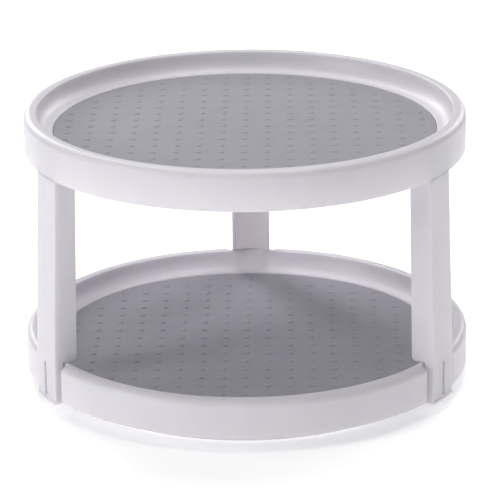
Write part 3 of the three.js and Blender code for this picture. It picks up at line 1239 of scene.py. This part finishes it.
@dataclass
class Trays:
    """The two trays: the upper one whole, the lower one notched for the legs."""

    finishes: Finishes
    segments: int = 300
    notch_gap: float = 0.5
    notch_depth: float = 6.1
    notch_margin: float = 4.4
    tongue_width: float = 10.4
    skirt_edge: float = 0.25
    hub_radius: float = 12.0
    hub_wall: float = 2.4
    bore_gap: float = 0.4
    rib_width: float = 1.6
    rib_lift: float = 1.5

    def sizes(self, tier: Tier) -> TraySizes:
        """Read a tray's radius and bottom edge from the frame."""
        high = box_of(f"{tier.value}_tray")[1]
        return TraySizes(radius=high.x, bottom=high.z - TraySizes.rim_height)

    def upper(self) -> None:
        """Build the upper tray with the ribs that hold the legs' heads."""
        sizes = self.sizes(Tier.UPPER)
        sizes.edge_round = self.skirt_edge
        rim = sizes.rim().chain()
        chain = [(0.0, sizes.floor_under), *rim, (0.0, sizes.floor_top)]
        tray = lathe("upper_tray_moulding", chain, self.segments)
        for turn in LEGS.values():
            for rib in self.ribs(sizes):
                tray.combined(rib.turned(turn), Join.ADD)
        tray.finished(self.finishes.shell, Body.TURNTABLE, Slot.SHELL, ["upper_tray"])

    def ribs(self, sizes: TraySizes) -> list[Part]:
        """Make the two ribs on either side of a leg that points along +X.

        Args:
            sizes: The upper tray's section.

        Returns:
            The ribs.
        """
        near = box_of("leg_back")[1].x + self.notch_gap
        inner = sizes.radius - sizes.rim_width + sizes.rim_wall
        outer = math.sqrt((sizes.radius - sizes.rim_wall / 2) ** 2 - (near + self.rib_width) ** 2)
        levels = (sizes.bottom + self.rib_lift, sizes.floor_top + sizes.ledge_rise - SEAT_GAP)
        made = []
        for y in (-near - self.rib_width, near):
            plan = [(inner, y), (outer, y), (outer, y + self.rib_width), (inner, y + self.rib_width)]
            made.append(prism("rib", [(plan, z) for z in levels]))
        return made

    def hub(self, sizes: TraySizes) -> tuple[list[Point], list[Point]]:
        """Draw the dished hub that the screw and washer hold.

        Args:
            sizes: The lower tray's section.

        Returns:
            The hub's underside from the bore outwards, and its top from outside to the bore.
        """
        plate_top = box_of("pivot_washer")[0].z - SEAT_GAP
        plate_under = plate_top - self.hub_wall
        bore = Pivot.shoulder_radius + self.bore_gap
        outer = self.hub_radius + self.hub_wall
        under = [(bore, plate_under), (outer, plate_under), (outer, sizes.floor_under)]
        over = [(self.hub_radius, sizes.floor_top), (self.hub_radius, plate_top), (bore, plate_top)]
        return under, over

    def lower(self) -> None:
        """Build the lower tray with its notches, tongues, race and hub."""
        sizes = self.sizes(Tier.LOWER)
        half = box_of("leg_back")[1].x
        under, over = self.hub(sizes)
        rim = sizes.rim().chain()
        leg_face = sizes.radius + LegSet.proud
        builder = NotchedRim(
            inner=[*under, *BallCircle.read().race(sizes.floor_under, 1)],
            outer=[*rim, *over],
            depth_radius=sizes.radius - self.notch_depth,
            half=half + self.notch_margin,
            tongue_half=self.tongue_width / 2,
            tongue_face=leg_face - LegSet.wall - self.notch_gap,
        )
        tray = builder.build("lower_tray_moulding", list(LEGS.values()))
        tray.finished(self.finishes.shell, Body.TURNTABLE, Slot.SHELL, ["lower_tray"])


@dataclass
class Mats:
    """The two grey sheets with their square grids of raised domes."""

    finishes: Finishes
    edge_round: float = 0.5
    segments: int = 240
    pitch: float = 15.0
    dome_radius: float = 2.35
    dome_rise: float = 0.6
    dome_sunk: float = 0.3
    dome_sides: int = 12
    margin: float = 5.0
    turn: float = 0.5

    def build(self, tier: Tier) -> None:
        """Build one mat.

        Args:
            tier: Which tray it lies in.
        """
        low, high = box_of(f"{tier.value}_mat")
        edge = high.x
        top = high.z
        soft = self.edge_round
        draw = Outline().to((0.0, low.z))
        draw.arc((edge - soft, low.z + soft), soft, 270, 360, steps=4)
        draw.arc((edge - soft, top - soft), soft, 0, 90, steps=4)
        sheet = lathe(f"{tier.value}_mat_sheet", draw.to((0.0, top)).chain(), self.segments)
        self.domed(sheet, edge, top)
        sheet.finished(self.finishes.mat, Body.TURNTABLE, Slot.MAT, [f"{tier.value}_mat"])

    def domed(self, sheet: Part, edge: float, top: float) -> None:
        """Set the grid of domes on a sheet.

        Args:
            sheet: The plain sheet.
            edge: Its radius.
            top: Height of its upper face.
        """
        graph = ShapeGraph("dome_grid")
        count = graph.given("Rows", "Int", 2 * math.ceil(edge / self.pitch) + 1)
        pitch = graph.length("Pitch", self.pitch)
        reach = graph.length("Reach", edge - self.margin)
        height = graph.length("Height", top)
        turn = graph.given("Turn", "Float", math.radians(self.turn))
        side = pitch * (count - 1)
        sizes = {"Size X": side, "Size Y": side, "Vertices X": count, "Vertices Y": count}
        grid = graph.out("GeometryNodeMeshGrid", inputs=sizes)
        place = graph.out("GeometryNodeInputPosition")
        length = graph.out("ShaderNodeVectorMath", {"operation": "LENGTH"}, {0: place}, output="Value")
        outside = {"Geometry": grid, "Selection": length > reach}
        kept = graph.out("GeometryNodeDeleteGeometry", {"domain": "POINT"}, outside)
        lift = graph.out("ShaderNodeCombineXYZ", inputs={"Z": height})
        spin = graph.out("ShaderNodeCombineXYZ", inputs={"Z": turn})
        placed = {"Geometry": kept, "Translation": lift, "Rotation": spin}
        laid = graph.out("GeometryNodeTransform", inputs=placed)
        copies = graph.copies(laid, self.dome(graph))
        join = graph.node("GeometryNodeJoinGeometry")
        for shape in (graph.incoming(), copies):
            graph.tree.links.new(shape.socket, join.inputs[0])
        graph.run(sheet, Field(graph, join.outputs[0]), self.finishes.mat)

    def dome(self, graph: ShapeGraph) -> Field:
        """Shape one dome: a low cap above the sheet and a shallow plug inside it.

        Args:
            graph: The tree.

        Returns:
            The closed dome.
        """
        radius = graph.length("Dome Radius", self.dome_radius)
        rise = graph.length("Dome Rise", self.dome_rise)
        sunk = graph.length("Dome Sunk", self.dome_sunk)
        sizes = {"Segments": self.dome_sides, "Rings": self.dome_sides // 2, "Radius": radius}
        ball = graph.out("GeometryNodeMeshUVSphere", inputs=sizes)
        place = graph.out("GeometryNodeInputPosition")
        parts = graph.node("ShaderNodeSeparateXYZ", inputs={0: place})
        x, y, z = (Field(graph, parts.outputs[k]) for k in range(3))
        above = z > 0.0
        flat = z / radius * (above * rise + (1 - above) * sunk)
        moved = graph.out("ShaderNodeCombineXYZ", inputs={"X": x, "Y": y, "Z": flat})
        return graph.out("GeometryNodeSetPosition", inputs={"Geometry": ball, "Position": moved})


@dataclass
class LegSet:
    """The three channel legs, open towards the axis, each with a slit face and a lipped foot."""

    finishes: Finishes
    wall: float = 2.2
    depth: float = 15.6
    depth_below: float = 17.2
    foot_depth: float = 7.4
    heel_round: float = 3.0
    heel_turns: tuple[float, ...] = (10.0, 30.0, 50.0, 70.0, 90.0)
    foot_plate: float = 1.6
    foot_lip: float = 1.2
    lip_round: float = 0.45
    slit_width: float = 3.0
    slit_margin: float = 1.5
    slit_stop: float = 1.4
    slit_beyond: float = 1.0
    corner: float = 0.8
    tip: float = 0.5
    face_steps: int = 6
    seam: float = 0.02
    plate_in: float = 0.01
    head_gap: float = 0.5
    head_lap: float = 2.4
    tenon_narrower: float = 2.5
    tenon_depth: float = 6.0
    proud: float = 1.8

    def channel(self, outer: float, half: float, depth: float) -> list[Point]:
        """Draw a leg's section, seen from above, with its outer face along +X.

        Args:
            outer: Radius of the outer face.
            half: Half the leg's width.
            depth: How far the flanges reach towards the axis.

        Returns:
            The outline, against the clock.
        """
        heel = outer - depth + self.tip
        hollow = half - self.wall
        near = half - self.corner
        edge = math.sqrt(outer**2 - near**2) - self.corner
        draw = Outline().arc((edge, -near), self.corner, -90, 0, steps=4)
        draw.to(*self.face(outer, near))
        draw.arc((edge, near), self.corner, 0, 90, steps=4)
        draw.arc((heel, half - self.tip), self.tip, 90, 180, steps=3)
        draw.arc((heel, hollow + self.tip), self.tip, 180, 270, steps=3)
        draw.to(*reversed(self.face(outer - self.wall, hollow)))
        draw.arc((heel, -hollow - self.tip), self.tip, 90, 180, steps=3)
        return draw.arc((heel, -half + self.tip), self.tip, 180, 270, steps=3).chain()

    def face(self, radius: float, half: float) -> list[Point]:
        """Return points along a leg's curved face, from one side to the other."""
        steps = self.face_steps
        aside = [half * k / steps for k in range(-steps, steps + 1)]
        return [(math.sqrt(radius**2 - y**2), y) for y in aside]

    def build(self) -> None:
        """Build the three legs from one shape."""
        shape = self.shape()
        for node, turn in LEGS.items():
            leg = Part(shape.obj.copy())
            leg.obj.data = shape.obj.data.copy()
            leg.obj.name = leg.obj.data.name = f"{node}_moulding"
            bpy.context.scene.collection.objects.link(leg.obj)
            leg.turned(turn).finished(self.finishes.shell, Body.TURNTABLE, Slot.SHELL, [node])
        bpy.data.objects.remove(shape.obj)

    def shape(self) -> Part:
        """Build one closed leg in the direction of +X."""
        low, high = box_of("leg_back")
        lower, upper = box_of("lower_tray")[1], box_of("upper_tray")[1]
        half = high.x
        skirt = upper.z - TraySizes.rim_height
        foot_outer = lower.x + self.proud
        post = self.post(half, (low.z, lower.z, skirt), (foot_outer, upper.x))
        post.combined(self.slit(foot_outer, low.z, lower.z), Join.CUT)
        post.combined(self.plate(low.z, half, foot_outer), Join.ADD)
        head_outer = upper.x - TraySizes.rim_wall - self.head_gap
        head_depth = self.depth - (upper.x - head_outer)
        shelf = skirt + TraySizes.floor_lift - SEAT_GAP
        head = self.channel(head_outer, half, head_depth)
        post.combined(prism("head", [(head, skirt - self.head_lap), (head, shelf)]), Join.ADD)
        tenon = self.channel(head_outer, half - self.tenon_narrower, self.tenon_depth)
        post.combined(prism("tenon", [(tenon, shelf - self.head_lap), (tenon, high.z)]), Join.ADD)
        return post

    def post(self, half: float, heights: tuple[float, float, float], outer: tuple[float, float]) -> Part:
        """Build the post, whose flanges grow deeper with a rounded heel just above the lower lip.

        Args:
            half: Half the leg's width.
            heights: Heights of the foot's underside, the lower lip and the upper skirt's edge.
            outer: Radius of the outer face at the foot and where it meets the upper skirt.

        Returns:
            The closed post.
        """
        foot, lower_top, skirt = heights
        foot_outer, top_outer = outer
        rest = lower_top + SEAT_GAP
        lowest = self.channel(foot_outer, half, self.foot_depth)
        levels = [(lowest, foot + self.foot_plate / 2), (lowest, rest)]
        for turn in self.heel_turns:
            inset = self.heel_round * (1 - math.sin(math.radians(turn)))
            rise = self.heel_round * (1 - math.cos(math.radians(turn)))
            share = rise / (skirt - rest)
            here = foot_outer + share * (top_outer - foot_outer)
            levels.append((self.channel(here, half, self.depth_below - inset), rest + rise))
        highest = self.channel(top_outer, half, self.depth)
        return prism("leg_shape", [*levels, (highest, skirt - self.seam)])

    def slit(self, outer: float, foot: float, lower_top: float) -> Part:
        """Build the tool that cuts the slit in the lower part of a leg's face.

        Args:
            outer: Radius of the leg's outer face.
            foot: Height of the foot's underside.
            lower_top: Height of the lower tray's lip.

        Returns:
            The closed tool.
        """
        near, far = outer - self.wall - self.slit_beyond, outer + self.slit_beyond
        half = self.slit_width / 2
        plan = [(near, -half), (far, -half), (far, half), (near, half)]
        start = foot + self.foot_plate + self.slit_margin
        return prism("slit", [(plan, start), (plan, lower_top - self.slit_stop)])

    def plate(self, foot: float, half: float, outer: float) -> Part:
        """Build the foot plate, whose edge stands out of the leg's face as a thin rounded lip.

        Args:
            foot: Height of its underside.
            half: Half the leg's width.
            outer: Radius of the leg's outer face.

        Returns:
            The closed plate.
        """
        edge = outer + self.foot_lip
        soft = self.lip_round
        turns = (0, 30, 60, 90)
        below = [(turn, -1, foot + soft) for turn in turns]
        above = [(turn, 1, foot + self.foot_plate - soft) for turn in reversed(turns)]
        levels = []
        for turn, sign, height in (*below, *above):
            inset = soft * (1 - math.sin(math.radians(turn)))
            rise = soft * math.cos(math.radians(turn))
            side = half - inset - self.plate_in
            heel = outer - self.foot_depth + inset
            plan = [*self.face(edge - inset, side), (heel, side), (heel, -side)]
            levels.append((plan, height + sign * rise))
        return prism("foot_plate", levels)


# ---------------------------------------------------------------------------
# Base, feet, bearing and pivot
# ---------------------------------------------------------------------------


@dataclass
class Base:
    """The stationary base with its race and boss, and the rubber feet in their pockets."""

    finishes: Finishes
    plate: float = 2.4
    wall: float = 2.4
    wall_height: float = 7.8
    soft: float = 0.8
    boss_radius: float = 7.0
    boss_lead: float = 0.5
    thread_hole: float = 1.9
    thread_depth: float = 5.8
    foot_count: int = 6
    foot_start: float = 120.0
    foot_pocket: float = 1.0
    foot_round: float = 0.6
    foot_top_round: float = 0.3
    grip_share: float = 0.6
    grip_half: float = 0.5
    grip_depth: float = 0.4
    foot_segments: int = 40
    pocket_sides: int = 48
    segments: int = 240

    def section(self) -> list[Point]:
        """Draw the base's section.

        Returns:
            The chain, from the axis and back to it.
        """
        low, high = box_of("base_plate")
        radius, bottom, boss = high.x, low.z, high.z
        top = bottom + self.plate
        edge = bottom + self.wall_height
        rim = self.wall / 2
        shaft = self.boss_radius
        draw = Outline().to((0.0, bottom))
        draw.arc((radius - self.soft, bottom + self.soft), self.soft, 270, 360, steps=6)
        draw.arc((radius - rim, edge - rim), rim, 0, 180, steps=8)
        draw.to((radius - self.wall, top), *reversed(BallCircle.read().race(top, -1)))
        draw.to((shaft, top), (shaft, boss - self.boss_lead), (shaft - self.boss_lead, boss))
        draw.to((self.thread_hole, boss), (self.thread_hole, boss - self.thread_depth))
        return draw.to((0.0, boss - self.thread_depth)).chain()

    def build(self) -> None:
        """Build the base and its feet."""
        low, high = box_of("foot_pad_1")
        radius = (high.x - low.x) / 2
        centre = (low + high) / 2
        reach = math.hypot(centre.x, centre.y)
        base = lathe("base_moulding", self.section(), self.segments)
        graph = ShapeGraph("foot_pockets")
        under = box_of("base_plate")[0].z
        points, _ = graph.ring_points(self.foot_count, reach, self.foot_start, under)
        tall = 2 * (self.foot_pocket + SEAT_GAP)
        bored = graph.bored(points, radius + SEAT_GAP, tall, self.pocket_sides)
        graph.run(base, bored, self.finishes.shell)
        base.finished(self.finishes.shell, Body.BASE, Slot.SHELL, ["base_plate"])
        self.feet(radius, high.z, reach)

    def feet(self, radius: float, height: float, reach: float) -> None:
        """Build the feet: rounded discs with a shallow grip groove underneath.

        Args:
            radius: A foot's radius.
            height: Its height.
            reach: Radius of the circle that they stand on.
        """
        soft, crown = self.foot_round, self.foot_top_round
        grip = radius * self.grip_share
        draw = Outline().to((0.0, 0.0), (grip - self.grip_half, 0.0), (grip, self.grip_depth))
        draw.to((grip + self.grip_half, 0.0))
        draw.arc((radius - soft, soft), soft, 270, 360, steps=5)
        draw.arc((radius - crown, height - crown), crown, 0, 90, steps=3)
        foot = lathe("rubber_feet", draw.to((0.0, height)).chain(), self.foot_segments)
        graph = ShapeGraph("feet_ring")
        points, turn = graph.ring_points(self.foot_count, reach, self.foot_start, 0.0)
        graph.run(foot, graph.copies(points, graph.incoming(), turn), self.finishes.rubber)
        pads = [f"foot_pad_{i + 1}" for i in range(self.foot_count)]
        foot.finished(self.finishes.rubber, Body.BASE, Slot.RUBBER, pads)


@dataclass
class Bearing:
    """The cage ring and the steel balls that run in it."""

    finishes: Finishes
    count: int = 12
    gap: float = 0.3
    lead: float = 0.4
    ball_sides: int = 32
    pocket_sides: int = 40
    segments: int = 180

    def build(self) -> None:
        """Build the cage and the balls."""
        circle = BallCircle.read()
        self.cage(circle)
        graph = ShapeGraph("ball_ring")
        points, _ = graph.ring_points(self.count, circle.reach, 0.0, circle.height)
        size = graph.length("Ball Radius", circle.ball)
        sizes = {"Segments": self.ball_sides, "Rings": self.ball_sides // 2, "Radius": size}
        ball = graph.out("GeometryNodeMeshUVSphere", inputs=sizes)
        # The tree makes every ball itself, so the mesh that it runs on is only a stand-in.
        balls = lathe("steel_balls", [(0.0, 0.0), (1.0, 0.0), (0.0, 1.0)], 3)
        graph.run(balls, graph.copies(points, ball), self.finishes.steel)
        nodes = [f"ball_{i + 1:02d}" for i in range(self.count)]
        balls.finished(self.finishes.steel, Body.BEARING, Slot.STEEL, nodes)

    def cage(self, circle: BallCircle) -> None:
        """Build the flat ring with a round pocket for each ball.

        Args:
            circle: The balls' circle.
        """
        low, high = box_of("ball_cage")
        inner, outer = 2 * circle.reach - high.x, high.x
        soft = self.lead
        draw = Outline()
        draw.arc((inner + soft, low.z + soft), soft, 180, 270, steps=3)
        draw.arc((outer - soft, low.z + soft), soft, 270, 360, steps=3)
        draw.arc((outer - soft, high.z - soft), soft, 0, 90, steps=3)
        draw.arc((inner + soft, high.z - soft), soft, 90, 180, steps=3)
        cage = lathe("cage_ring", draw.chain(), self.segments)
        graph = ShapeGraph("ball_pockets")
        points, _ = graph.ring_points(self.count, circle.reach, 0.0, circle.height)
        bored = graph.bored(points, circle.ball + self.gap, 4 * circle.ball, self.pocket_sides)
        graph.run(cage, bored, self.finishes.cage)
        cage.finished(self.finishes.cage, Body.BEARING, Slot.CAGE, ["ball_cage"])


@dataclass
class Pivot:
    """The shoulder screw and its washer at the centre, under the lower mat."""

    finishes: Finishes
    shoulder_radius: float = 4.0
    thread_radius: float = 1.6
    thread_length: float = 5.5
    thread_pitch: float = 0.8
    thread_start: float = 0.2
    flank: float = 0.3
    flank_depth: float = 0.35
    edge_lead: float = 0.3
    head_round: float = 0.8
    washer_gap: float = 0.3
    washer_lead: float = 0.2
    head_height: float = 2.0
    drive_width: float = 1.1
    drive_length: float = 6.4
    drive_depth: float = 1.1
    segments: int = 48
    washer_segments: int = 64

    def build(self) -> None:
        """Build the screw and the washer."""
        low, high = box_of("pivot_screw")
        head = high.x
        under = high.z - self.head_height
        shoulder = low.z + self.thread_length
        lead, soft = self.edge_lead, self.head_round
        root = self.thread_radius - self.flank_depth
        draw = Outline().to((0.0, low.z))
        for i in range(int(self.thread_length / self.thread_pitch)):
            z = low.z + self.thread_start + i * self.thread_pitch
            draw.to((root, z), (self.thread_radius, z + self.flank), (root, z + 2 * self.flank))
        draw.to((root, shoulder), (self.shoulder_radius - lead, shoulder))
        draw.to((self.shoulder_radius, shoulder + lead), (self.shoulder_radius, under))
        draw.to((head - lead, under), (head, under + lead))
        draw.arc((head - soft, high.z - soft), soft, 0, 90, steps=6)
        screw = lathe("shoulder_screw", draw.to((0.0, high.z)).chain(), self.segments)
        half, wide = self.drive_length / 2, self.drive_width / 2
        plan = [(-half, -wide), (half, -wide), (half, wide), (-half, wide)]
        for turn in (0, 90):
            slot = prism("slot", [(plan, high.z - self.drive_depth), (plan, high.z + 1)])
            screw.combined(slot.turned(turn), Join.CUT)
        screw.finished(self.finishes.steel, Body.BASE, Slot.STEEL, ["pivot_screw"])
        self.washer()

    def washer(self) -> None:
        """Build the flat washer with its edges broken."""
        low, high = box_of("pivot_washer")
        bore = self.shoulder_radius + self.washer_gap
        edge = self.washer_lead
        draw = Outline().to((bore, low.z + edge), (bore + edge, low.z), (high.x - edge, low.z))
        draw.to((high.x, low.z + edge), (high.x, high.z - edge), (high.x - edge, high.z))
        draw.to((bore + edge, high.z), (bore, high.z - edge))
        washer = lathe("flat_washer", draw.chain(), self.washer_segments)
        washer.finished(self.finishes.steel, Body.BASE, Slot.STEEL, ["pivot_washer"])


# ---------------------------------------------------------------------------
# Studio
# ---------------------------------------------------------------------------


@dataclass(frozen=True)
class Softbox:
    """A soft lamp that looks at the middle of the object. Lengths are in metres."""

    name: str
    azimuth: float
    elevation: float
    power: float
    distance: float = 2.2
    size: float = 0.8

    def build(self, target: Vector) -> None:
        """Hang the lamp.

        Args:
            target: What it looks at.
        """
        lamp = bpy.data.lights.new(self.name, "AREA")
        lamp.shape = "DISK"
        lamp.size = self.size
        lamp.energy = self.power
        obj = bpy.data.objects.new(self.name, lamp)
        a, e = math.radians(self.azimuth), math.radians(self.elevation)
        away = Vector((math.sin(a) * math.cos(e), -math.cos(a) * math.cos(e), math.sin(e)))
        obj.location = target + away * self.distance
        obj.rotation_euler = (-away).to_track_quat("-Z", "Y").to_euler()
        bpy.context.scene.collection.objects.link(obj)


@dataclass
class Studio:
    """Pale glowing floor, soft lamps and the camera."""

    camera_reach: float = 1830.0
    camera_height: float = 727.0
    camera_round: float = 1.48
    pitch: float = 19.18
    roll: float = -0.57
    lens: float = 205.9
    floor_radius: float = 14000.0
    floor_sides: int = 96
    lamps: tuple[Softbox, ...] = (
        Softbox("back_left_low", -150.0, 20.0, 11.0),
        Softbox("left_front_low", -60.0, 20.0, 15.0),
        Softbox("front_low", 0.0, 20.0, 5.5),
        Softbox("front_high", 0.0, 70.0, 8.0),
        Softbox("back_right_low", 150.0, 20.0, 9.5),
        Softbox("right_front_low", 60.0, 20.0, 2.0),
        Softbox("back_left_middle", -150.0, 45.0, 7.5),
        Softbox("right_back_middle", 120.0, 45.0, 4.0),
        Softbox("back_left_high", -150.0, 70.0, 8.5),
        Softbox("back_right_high", 150.0, 70.0, 11.0),
    )

    def build(self) -> None:
        """Build the floor, the lights and the camera."""
        self.floor()
        self.world()
        low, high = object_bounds()
        for lamp in self.lamps:
            lamp.build((low + high) / 2)
        self.camera()

    def floor(self) -> None:
        """Lay the round floor under the feet."""
        sides = range(self.floor_sides)
        ring = [on_circle(self.floor_radius, 360 * j / self.floor_sides, 0.0) for j in sides]
        floor = Part.made("studio_floor", ring, [list(sides)])
        floor.obj.data.materials.append(StudioPaper().material())
        floor.obj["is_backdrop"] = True

    def world(self) -> None:
        """Keep the surroundings dark, so that only the lamps and the floor give light."""
        scene = bpy.context.scene
        scene.world = bpy.data.worlds.new("dark_surroundings")
        scene.world.use_nodes = True
        scene.world.node_tree.nodes["Background"].inputs["Strength"].default_value = 0.0
        scene.view_settings.view_transform = "Standard"

    def camera(self) -> None:
        """Set up the camera in front of the object, looking down on both trays."""
        lens = bpy.data.cameras.new("camera")
        lens.lens = self.lens
        lens.sensor_width = 36.0
        lens.clip_end = 100.0
        camera = bpy.data.objects.new("camera", lens)
        pitch, roll = math.radians(self.pitch), math.radians(self.roll)
        ahead = Vector((0.0, math.cos(pitch), -math.sin(pitch)))
        right = Vector((1.0, 0.0, 0.0))
        up = right.cross(ahead)
        tilted = math.cos(roll) * right + math.sin(roll) * up
        raised = tilted.cross(ahead)
        stand = Matrix((tilted, raised, -ahead)).transposed().to_4x4()
        stand.translation = Vector((0.0, -self.camera_reach, self.camera_height)) * MM
        around = Matrix.Rotation(math.radians(self.camera_round), 4, "Z")
        camera.matrix_world = around @ stand
        bpy.context.scene.collection.objects.link(camera)
        bpy.context.scene.camera = camera


def main() -> None:
    """Build every sub-assembly around the frame, then the studio."""
    logging.basicConfig(level=logging.INFO, format="%(name)s: %(message)s")
    finishes = Finishes.made()
    trays = Trays(finishes)
    trays.lower()
    trays.upper()
    mats = Mats(finishes)
    for tier in Tier:
        mats.build(tier)
    LegSet(finishes).build()
    Base(finishes).build()
    Bearing(finishes).build()
    Pivot(finishes).build()
    Studio().build()


if __name__ == "__main__":
    main()
